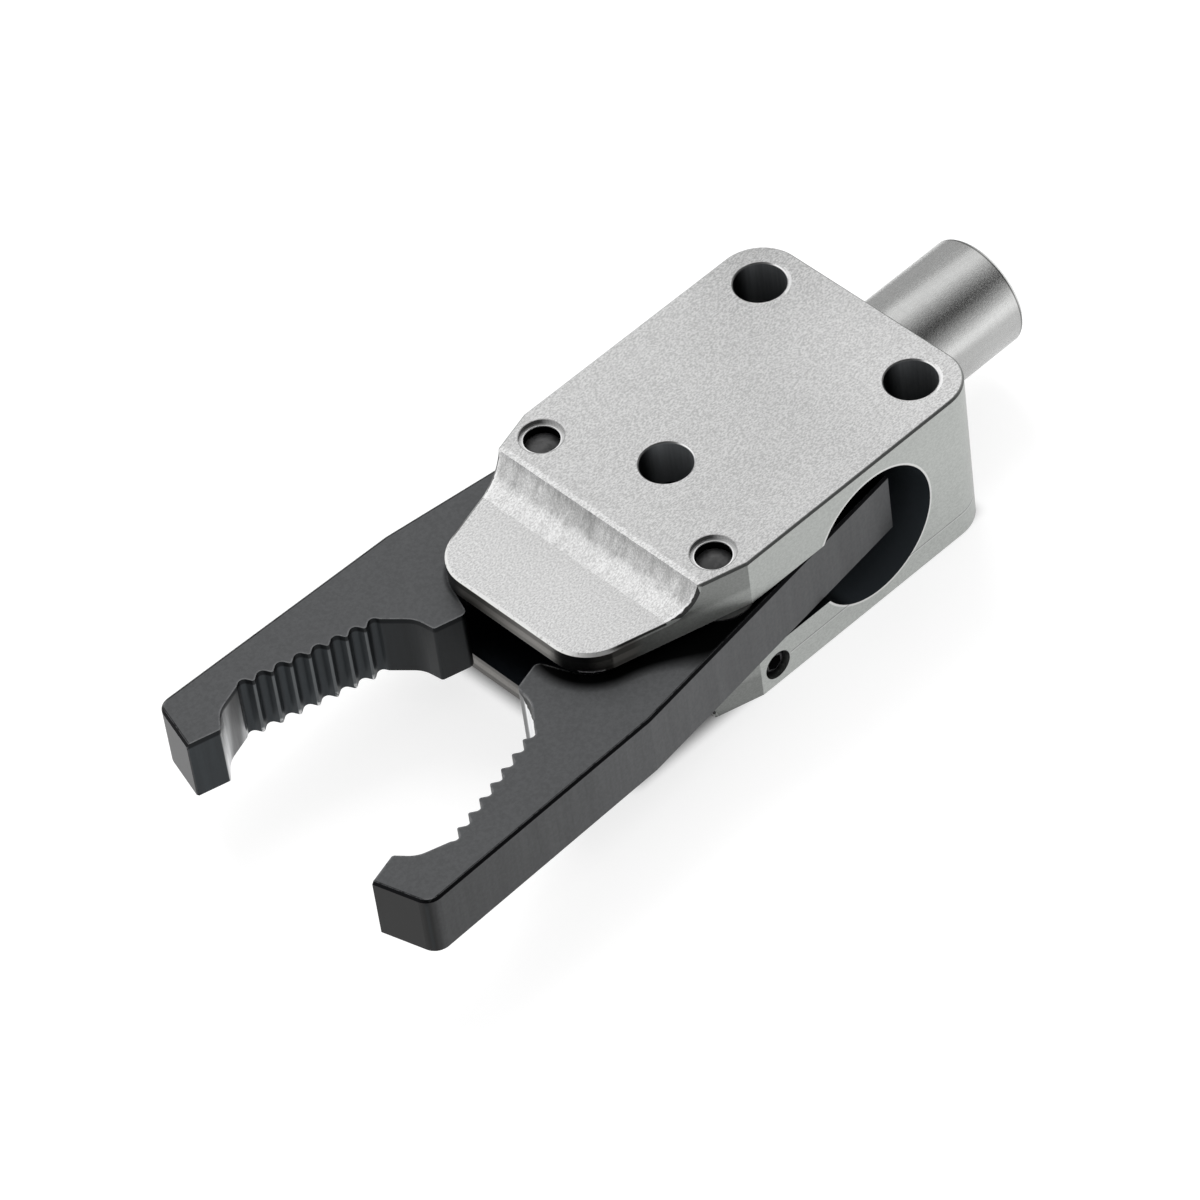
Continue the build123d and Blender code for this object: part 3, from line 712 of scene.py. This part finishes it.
    # Colours, with painted shade: the outer side darker towards the tip, and the gripping side darker, partly its own
    # tone and partly painted shade, darker still behind the teeth
    mottle = sway(tree, streaks["Tone"], outer, 0.5)
    colour = vary(tree, colours.jaw_black, (grain["Tone"], 0.22), (streaks["Tone"], 0.22), (mottle, 0.7))
    colour = lift(tree, colour, (tongue_shadow, tongue_shadow_tone), (both(tree, outer, (along, 14.0, 35.0)), 0.60),
                  (inside, 0.04), jaw_front_shade)
    grip_tone_and_shade = scale(tree, (0.012, 0.016, 0.019), ramp(tree, streaks["Tone"], 2.9, -0.1))
    colour = lift(tree, paint(tree, colour, (gripping, 0.90, grip_tone_and_shade)), (behind_teeth, 0.35))
    colour = paint(
        tree, colour, (crests, 0.62, (0.150, 0.160, 0.165)), (low_crests, 1, grey(0.7)), (bare, 1, shine),
        (chip, 0.9, (0.012, 0.012, 0.013)), (under_rim_shade, 0.9, (0.010, 0.011, 0.012)),
        (bevel_shade, 0.92, (0.010, 0.010, 0.011)), (both(tree, worn["Mask"], flat), 0.55, (0.23, 0.235, 0.24)),
        (both(tree, scuffs["Mask"], flat), 0.5, grey(0.02)))
    put(tree, surface.inputs["Base Color"], colour)
    full_metal = either(tree, bare, inside, tongue_shadow, chip, bevel_shade, under_rim_shade)
    put(tree, surface.inputs["Metallic"], ramp(tree, full_metal, 0.4, 0.6))
    put(tree, surface.inputs["Roughness"], ramp(tree, bare, -0.10, 0.42))
    relief(tree, surface, streaks["Height"], 0.006, 0.5)
    return material


def make_plain_metal(name, colour, metallic, roughness, grain_size=2.0, amount=0.10):
    """A small piece's metal, rubber or steel with a fine grain."""
    material, tree, surface, place, *_ = new_finish(name)
    grain = effect(tree, "blasted_grain", place=place, grain=grain_size, cloud=0.3)
    put(tree, surface.inputs["Base Color"], vary(tree, colour, (grain["Tone"], amount)))
    surface.inputs["Metallic"].default_value = metallic
    put(tree, surface.inputs["Roughness"], sway(tree, grain["Tone"], 0.1, roughness))
    relief(tree, surface, grain["Height"], 0.004, 0.4)
    return material


class GRIPPER_OT_housing(bpy.types.Operator):
    """Give the housing its blasted and milled faces, with their painted light and shade."""

    bl_idname = "gripper.housing"
    bl_label = "Housing"

    def execute(self, context):
        dress("housing", make_housing_finish(context.scene.gripper_finishes))
        return {"FINISHED"}


def pick(*pieces):
    """Select these pieces alone, with the first one active."""
    bpy.ops.object.select_all(action="DESELECT")
    for piece in pieces:
        piece.select_set(True)
    bpy.context.view_layer.objects.active = pieces[0]


def edit_all():
    """Enter edit mode with everything selected."""
    bpy.ops.object.mode_set(mode="EDIT")
    bpy.ops.mesh.select_all(action="SELECT")


def turn(name, profile, sides, filled=False):
    """A turned shape about Z, drawn ring by ring: each ring is a radius and a place on the axis."""
    radius, place = profile[0]
    bpy.ops.mesh.primitive_circle_add(vertices=sides, radius=radius * MM, location=(0, 0, place * MM),
                                      fill_type="NGON" if filled else "NOTHING")
    piece = bpy.context.object
    piece.name = name
    bpy.ops.object.transform_apply()
    edit_all()
    for next_radius, next_place in profile[1:]:
        bpy.ops.mesh.extrude_region_move(TRANSFORM_OT_translate={"value": (0, 0, (next_place - place) * MM)})
        bpy.ops.transform.resize(value=(next_radius / radius, next_radius / radius, 1), center_override=(0, 0, 0))
        radius, place = next_radius, next_place
    finish_mesh()
    return piece


def finish_mesh():
    """Merge what coincides, point the faces outwards, and leave edit mode."""
    bpy.ops.mesh.select_all(action="SELECT")
    bpy.ops.mesh.remove_doubles(threshold=MERGE_DISTANCE)
    bpy.ops.mesh.normals_make_consistent(inside=False)
    bpy.ops.object.mode_set(mode="OBJECT")


def apply_modifier(piece, kind, name, **settings):
    """Put a modifier on a piece and apply it."""
    pick(piece)
    made = piece.modifiers.new(name, kind)
    for label, value in settings.items():
        setattr(made, label, value)
    bpy.ops.object.modifier_apply(modifier=name)


def wind(name, root, crest, width, pitch, start, turns):
    """A thread's ridge about Z, from its root radius to its crest radius, closed at both ends."""
    middle = (root + crest) / 2
    bpy.ops.mesh.primitive_plane_add(size=1.0, location=(middle * MM, 0, start * MM), rotation=(math.pi / 2, 0, 0))
    ridge = bpy.context.object
    ridge.name = name
    ridge.scale = (abs(crest - root) * MM, width * MM, 1)
    bpy.ops.object.transform_apply()
    bpy.ops.object.mode_set(mode="EDIT")
    bpy.ops.mesh.delete(type="ONLY_FACE")
    bpy.ops.object.mode_set(mode="OBJECT")
    for vertex in ridge.data.vertices:
        vertex.select = abs(vertex.co.x - crest * MM) < 0.01 * MM
    for edge in ridge.data.edges:
        edge.select = all(ridge.data.vertices[index].select for index in edge.vertices)
    bpy.ops.object.mode_set(mode="EDIT")
    bpy.ops.transform.resize(value=(1, 1, 0.2), center_override=(crest * MM, 0, start * MM))
    bpy.ops.object.mode_set(mode="OBJECT")
    apply_modifier(ridge, "SCREW", "wind", axis="Z", angle=math.tau, screw_offset=pitch * MM, iterations=turns,
                   steps=TURN_STEPS, render_steps=TURN_STEPS, use_merge_vertices=False)
    edit_all()
    bpy.ops.mesh.fill_holes(sides=4)
    finish_mesh()
    return ridge


def merge(pieces, name):
    """Join pieces into one mesh under one name."""
    pick(*pieces)
    bpy.ops.object.join()
    pieces[0].name = name
    return pieces[0]


def lay(piece, turn_by, place):
    """Turn a piece and put it in its place, and write both into its mesh."""
    pick(piece)
    piece.rotation_euler = turn_by
    piece.location = [value * MM for value in place]
    bpy.ops.object.transform_apply()


def smooth(piece):
    """Smooth a piece's round faces and keep its edges sharp."""
    pick(piece)
    bpy.ops.object.shade_smooth_by_angle(angle=SMOOTH_ANGLE)


class GRIPPER_OT_shank(bpy.types.Operator):
    """Turn the shank with its edges broken, and cut the thread in its air port."""

    bl_idname = "gripper.shank"
    bl_label = "Shank"

    def execute(self, context):
        pitch = context.scene.gripper_sizes.port_thread_pitch / MM
        major, minor, deep, mouth = 2.5, 2.1, SHANK_END + 6.0, 0.3
        duct, spigot, spigot_break = 1.25, 3.25, 0.2
        groove, groove_start, groove_end = 2.25, 2.0, 3.2
        profile = [
            (duct, SPIGOT_END), (duct, deep + 0.5), (minor - 0.05, deep), (minor - 0.05, deep - 0.7),
            (major, deep - 1.0), (major, SHANK_END + mouth), (major + mouth, SHANK_END),
            (SHANK_RADIUS - 0.32, SHANK_END), (SHANK_RADIUS - 0.22, SHANK_END + 0.04),
            (SHANK_RADIUS - 0.04, SHANK_END + 0.22), (SHANK_RADIUS, SHANK_END + 0.32), (SHANK_RADIUS, 0.0),
            (spigot, 0.0), (spigot, groove_start), (groove, groove_start), (groove, groove_end), (spigot, groove_end),
            (spigot, SPIGOT_END - spigot_break), (spigot - spigot_break, SPIGOT_END), (duct, SPIGOT_END)]
        body = turn("turned_shank", profile, sides=128)
        turns = math.floor((deep - 1.2 - SHANK_END - mouth) / pitch)
        thread = wind("port_thread", major + 0.02, minor, pitch * 0.8, pitch, SHANK_END + 0.45, turns)
        for piece in (body, thread):
            lay(piece, (0, math.pi / 2, 0), (0, 0, 0))
            smooth(piece)
        material = make_shank_finish(context.scene.gripper_finishes)
        for piece in (body, thread):
            piece.data.materials.append(material)
            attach(piece, "housing")
        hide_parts("shank")
        return {"FINISHED"}


class GRIPPER_OT_set_screws(bpy.types.Operator):
    """Make the two set screws, with threads, broken ends and hexagon sockets."""

    bl_idname = "gripper.set_screws"
    bl_label = "Set screws"

    def execute(self, context):
        sizes = context.scene.gripper_sizes
        pitch = sizes.screw_thread_pitch / MM
        socket = sizes.socket_width / MM
        root = SCREW_RADIUS - SCREW_THREAD_DEPTH
        material = make_plain_metal("screw_black_steel", (0.012, 0.012, 0.014), 0.5, 0.28)
        for side, sign in (("left", 1), ("right", -1)):
            body = turn(f"set_screw_{side}", [(0.75, -SCREW_LENGTH), (root, 0.3 - SCREW_LENGTH), (root, -0.22),
                                              (root - 0.18, -0.03), (root - 0.24, 0.0)], sides=64, filled=True)
            bpy.ops.mesh.primitive_cylinder_add(vertices=6, radius=socket / math.sqrt(3) * MM,
                                                depth=2 * SOCKET_DEPTH * MM)
            cutter = bpy.context.object
            edit_all()
            bpy.ops.mesh.bevel(offset=0.04 * MM, segments=2, affect="EDGES")
            bpy.ops.object.mode_set(mode="OBJECT")
            apply_modifier(body, "BOOLEAN", "socket", operation="DIFFERENCE", object=cutter, solver="EXACT")
            bpy.data.objects.remove(cutter)
            turns = math.floor((SCREW_LENGTH - 0.75) / pitch)
            thread = wind(f"screw_thread_{side}", root - 0.02, SCREW_RADIUS - 0.01, pitch * 0.8, pitch,
                          0.45 - SCREW_LENGTH, turns)
            body = merge([body, thread], f"set_screw_{side}")
            lay(body, (-sign * math.pi / 2, 0, 0), (SCREW_X, sign * SCREW_FACE, SCREW_Z))
            smooth(body)
            body.data.materials.append(material)
            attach(body, "housing")
            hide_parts("set_screws")
        return {"FINISHED"}


class GRIPPER_OT_spring(bpy.types.Operator):
    """Wind the opening spring in two halves, each ending in a closed turn at its jaw's seat."""

    bl_idname = "gripper.spring"
    bl_label = "Opening spring"

    def execute(self, context):
        sizes = context.scene.gripper_sizes
        wire = sizes.wire / MM
        closed_length = wire * 1.05
        open_length = SPRING_END - wire / 2 - closed_length
        half_turns = sizes.open_turns / 2
        material = make_plain_metal("spring_wire", (0.16, 0.16, 0.165), 1.0, 0.30)
        for side, sign in (("left", 1), ("right", -1)):
            coils = []
            for label, place, length, turns, begin in (("open", 0.0, open_length, half_turns, 0.0),
                                                       ("closed", open_length, closed_length, 1.0, half_turns)):
                bpy.ops.mesh.primitive_circle_add(vertices=WIRE_SIDES, radius=wire / 2 * MM,
                                                  rotation=(math.pi / 2, 0, 0),
                                                  location=((SPRING_RADIUS - wire / 2) * MM, 0, place * MM))
                coil = bpy.context.object
                coil.name = f"coil_{label}_{side}"
                bpy.ops.object.transform_apply()
                steps = round(TURN_STEPS * turns)
                apply_modifier(coil, "SCREW", "wind", axis="Z", angle=math.tau * turns, screw_offset=length * MM,
                               iterations=1, steps=steps, render_steps=steps, use_merge_vertices=False)
                lay(coil, (0, 0, math.tau * begin), (0, 0, 0))
                coils.append(coil)
            half = merge(coils, f"wound_spring_{side}")
            edit_all()
            bpy.ops.mesh.remove_doubles(threshold=MERGE_DISTANCE)
            bpy.ops.mesh.fill_holes(sides=WIRE_SIDES)
            finish_mesh()
            lay(half, (-sign * math.pi / 2, 0, 0), (SPRING_X, 0, 0))
            smooth(half)
            half.data.materials.append(material)
            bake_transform(half)
            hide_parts("opening_spring")
        return {"FINISHED"}


class GRIPPER_OT_jaws(bpy.types.Operator):
    """Give each jaw its own black finish, worn where that jaw is, with its own painted shade and shadow."""

    bl_idname = "gripper.jaws"
    bl_label = "Jaws"

    def execute(self, context):
        for side in ("left", "right"):
            dress(f"jaw_{side}", make_jaw_finish(context.scene.gripper_finishes, side))
        return {"FINISHED"}


class GRIPPER_OT_pivots(bpy.types.Operator):
    """Give the pivot pins, the jaws' bushes and the washers their finishes."""

    bl_idname = "gripper.pivots"
    bl_label = "Pivots"

    def execute(self, context):
        pin = make_plain_metal("pin_ground_steel", (0.062, 0.062, 0.063), 0.35, 0.38, grain_size=1.1, amount=0.9)
        shim = make_plain_metal("washer_shim_steel", (0.30, 0.30, 0.30), 1.0, 0.35)
        bronze = make_plain_metal("bush_bronze", (0.5, 0.33, 0.16), 1.0, 0.38)
        for side in ("left", "right"):
            dress(f"pivot_pin_{side}", pin)
            dress(f"jaw_bush_{side}", bronze)
            for level in ("upper", "lower"):
                dress(f"{level}_washer_{side}", shim)
        return {"FINISHED"}


class GRIPPER_OT_pistons(bpy.types.Operator):
    """Give the pistons, their noses and the seals their finishes."""

    bl_idname = "gripper.pistons"
    bl_label = "Pistons"

    def execute(self, context):
        alloy = make_plain_metal("piston_alloy", (0.05, 0.05, 0.055), 1.0, 0.35)
        nose = make_plain_metal("nose_hardened_steel", (0.30, 0.30, 0.31), 1.0, 0.22)
        rubber = make_plain_metal("seal_rubber", (0.018, 0.018, 0.018), 0.0, 0.55)
        dress("shank_seal", rubber)
        for side in ("left", "right"):
            dress(f"piston_{side}", alloy)
            dress(f"piston_nose_{side}", nose)
            dress(f"piston_seal_{side}", rubber)
        return {"FINISHED"}


def shown_background(tree):
    """1 where the camera, a reflection or a clear material looks at the background."""
    path = node(tree, "LightPath").outputs
    return either(tree, path["Is Camera Ray"], path["Is Glossy Ray"], path["Is Transmission Ray"])


def make_glow(name, level):
    """A dull grey material that can give off white light, with its nodes and its shader."""
    material = bpy.data.materials.new(name)
    material.use_nodes = True
    surface = material.node_tree.nodes["Principled BSDF"]
    surface.inputs["Base Color"].default_value = (*grey(level), 1.0)
    surface.inputs["Specular IOR Level"].default_value = 0.0
    surface.inputs["Emission Color"].default_value = (1.0, 1.0, 1.0, 1.0)
    return material, material.node_tree, surface


def add_lamp(name, place, target, size, power):
    """A soft square lamp that points at a target."""
    bpy.ops.object.light_add(type="AREA", location=place)
    lamp = bpy.context.object
    lamp.name = name
    lamp.data.shape = "SQUARE"
    lamp.data.size = size
    lamp.data.energy = power
    lamp.visible_glossy = False
    lamp.rotation_euler = (Vector(target) - Vector(place)).to_track_quat("-Z", "Y").to_euler()


def add_card(name, place, target, size, middle, rise):
    """A card beside the view that shows only in reflections, lighter away from its middle line."""
    bpy.ops.mesh.primitive_plane_add(size=1.0, location=place)
    card = bpy.context.object
    card.name = name
    card.scale = (*size, 1.0)
    card.rotation_euler = (Vector(target) - Vector(place)).to_track_quat("Z", "Y").to_euler()
    dull, tree, surface = make_glow(name, 0.0)
    across = node(tree, "SeparateXYZ", {0: node(tree, "TexCoord").outputs["Object"]}).outputs["Y"]
    level = ramp(tree, calc(tree, "ABSOLUTE", across), rise, middle)
    put(tree, surface.inputs["Emission Strength"], calc(tree, "MINIMUM", calc(tree, "MAXIMUM", level, 0.0), 1.0))
    card.data.materials.append(dull)
    card.visible_camera = False
    card.visible_shadow = False
    card.visible_diffuse = False


class GRIPPER_OT_stage(bpy.types.Operator):
    """Set up the floor, the surroundings, the lamps and the camera."""

    bl_idname = "gripper.stage"
    bl_label = "Stage"

    def execute(self, context):
        studio = context.scene.gripper_studio
        bpy.ops.mesh.primitive_plane_add(size=studio.floor_size, location=(0, 0, cad_box[0][2]))
        floor = context.object
        floor.name = "floor"
        pale, tree, surface = make_glow("floor_pale", FLOOR_GREY)
        surface.inputs["Roughness"].default_value = 0.9
        place = node(tree, "SeparateXYZ", {0: node(tree, "TexCoord").outputs["Object"]}).outputs
        # No glow under the housing: a painted shadow on the floor
        under_housing_shade = both(tree, near(tree, place["X"], FRONT_X * MM / 2, FRONT_X * MM / 2 - FLOOR_INSET, FLOOR_INSET),
                       near(tree, place["Y"], -FLOOR_INSET, SIDE * MM, FLOOR_INSET))
        put(tree, surface.inputs["Emission Strength"],
            both(tree, shown_background(tree), no(tree, under_housing_shade), FLOOR_GLOW))
        floor.data.materials.append(pale)

        add_card("overhead_card", (0.0, 0.24, 0.30), (0, 0, 0), (1.4, 1.4), 0.0, 2.6)
        add_card("shank_card", (-0.036, -0.022, 0.009), (-0.036, 0, 0.009), (0.070, 0.033), 0.48, 0.0)

        world = bpy.data.worlds.new("studio")
        context.scene.world = world
        world.use_nodes = True
        tree = world.node_tree
        ground = tree.nodes["Background"]
        ground.inputs["Color"].default_value = (1, 1, 1, 1)
        put(tree, ground.inputs["Strength"],
            ramp(tree, shown_background(tree), 1.0 - studio.sky_light, studio.sky_light))

        add_lamp("main_lamp", (-0.20, -0.55, 0.60), LIT_POINT, 0.5, studio.key_power)
        add_lamp("side_lamp", (-0.30, 0.70, 0.20), LIT_POINT, 0.4, studio.fill_power)

        bpy.ops.object.camera_add(location=studio.camera_place, rotation=studio.camera_turn)
        camera = context.object
        camera.data.lens = studio.lens
        camera.data.sensor_width = 36.0
        camera.data.clip_start = 0.01
        camera.data.clip_end = 20.0
        context.scene.camera = camera
        context.scene.view_settings.view_transform = "Standard"
        return {"FINISHED"}


class GRIPPER_PT_panel(bpy.types.Panel):
    """Lists the gripper's pieces, colours and studio."""

    bl_idname = "GRIPPER_PT_panel"
    bl_label = "Sprue gripper"
    bl_space_type = "VIEW_3D"
    bl_region_type = "UI"
    bl_category = "Gripper"

    def draw(self, context):
        for operator in PIECE_OPERATORS + STAGE_OPERATORS:
            self.layout.operator(operator.bl_idname)
        scene = context.scene
        for group in (scene.gripper_finishes, scene.gripper_sizes, scene.gripper_studio):
            box = self.layout.box()
            for name in group.__annotations__:
                box.prop(group, name)


PROPERTY_GROUPS = (GripperFinishes, GripperSizes, GripperStudio)
PIECE_OPERATORS = (GRIPPER_OT_housing, GRIPPER_OT_shank, GRIPPER_OT_jaws, GRIPPER_OT_pivots, GRIPPER_OT_set_screws,
                   GRIPPER_OT_pistons, GRIPPER_OT_spring)
STAGE_OPERATORS = (GRIPPER_OT_stage,)


def register():
    for made in PROPERTY_GROUPS + PIECE_OPERATORS + STAGE_OPERATORS + (GRIPPER_PT_panel,):
        bpy.utils.register_class(made)
    bpy.types.Scene.gripper_finishes = bpy.props.PointerProperty(type=GripperFinishes)
    bpy.types.Scene.gripper_sizes = bpy.props.PointerProperty(type=GripperSizes)
    bpy.types.Scene.gripper_studio = bpy.props.PointerProperty(type=GripperStudio)


def unregister():
    del bpy.types.Scene.gripper_studio
    del bpy.types.Scene.gripper_sizes
    del bpy.types.Scene.gripper_finishes
    for made in reversed(PROPERTY_GROUPS + PIECE_OPERATORS + STAGE_OPERATORS + (GRIPPER_PT_panel,)):
        bpy.utils.unregister_class(made)


def main():
    register()
    bpy.ops.gripper.housing()
    bpy.ops.gripper.shank()
    bpy.ops.gripper.jaws()
    bpy.ops.gripper.pivots()
    bpy.ops.gripper.set_screws()
    bpy.ops.gripper.pistons()
    bpy.ops.gripper.spring()
    bpy.ops.gripper.stage()


if __name__ == "__main__":
    main()
